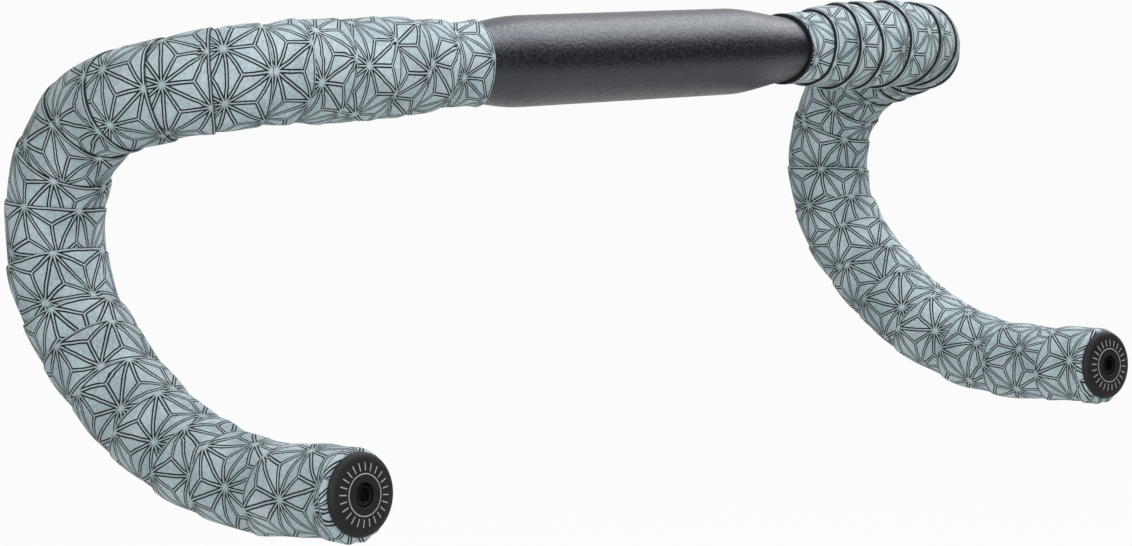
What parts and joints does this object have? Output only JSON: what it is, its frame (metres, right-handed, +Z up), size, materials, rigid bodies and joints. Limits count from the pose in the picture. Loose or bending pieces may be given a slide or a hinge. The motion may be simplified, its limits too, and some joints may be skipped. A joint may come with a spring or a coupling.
{
  "type": "taped drop handlebar",
  "caption": "Drop handlebar for a road bicycle with a thick round clamp zone, wound padded tape with a hemp-leaf relief, and screwed bar-end plugs.",
  "frame": {"origin": "middle of the clamp zone, on the axis of the straight top", "axes": "+X along the straight top to the rider's right, +Y forward, +Z up, with the bar held as it is on the bicycle"},
  "size_m": [0.4172, 0.1716, 0.1581],
  "materials": {
    "bar_metal": "black anodised, satin",
    "tape_foam": "matt grey-blue with dark pressed lines",
    "plug_plastic": "fine-grained black",
    "black_steel": "blackened"
  },
  "bodies": {
    "root": {"handlebar": "bar_metal", "tape_left": "tape_foam", "tape_right": "tape_foam", "left_plug_cap": "plug_plastic", "left_plug_screw": "black_steel", "left_plug_sleeve": "plug_plastic", "left_plug_wedge": "black_steel", "right_plug_cap": "plug_plastic", "right_plug_screw": "black_steel", "right_plug_sleeve": "plug_plastic", "right_plug_wedge": "black_steel"}
  },
  "joints": []
}
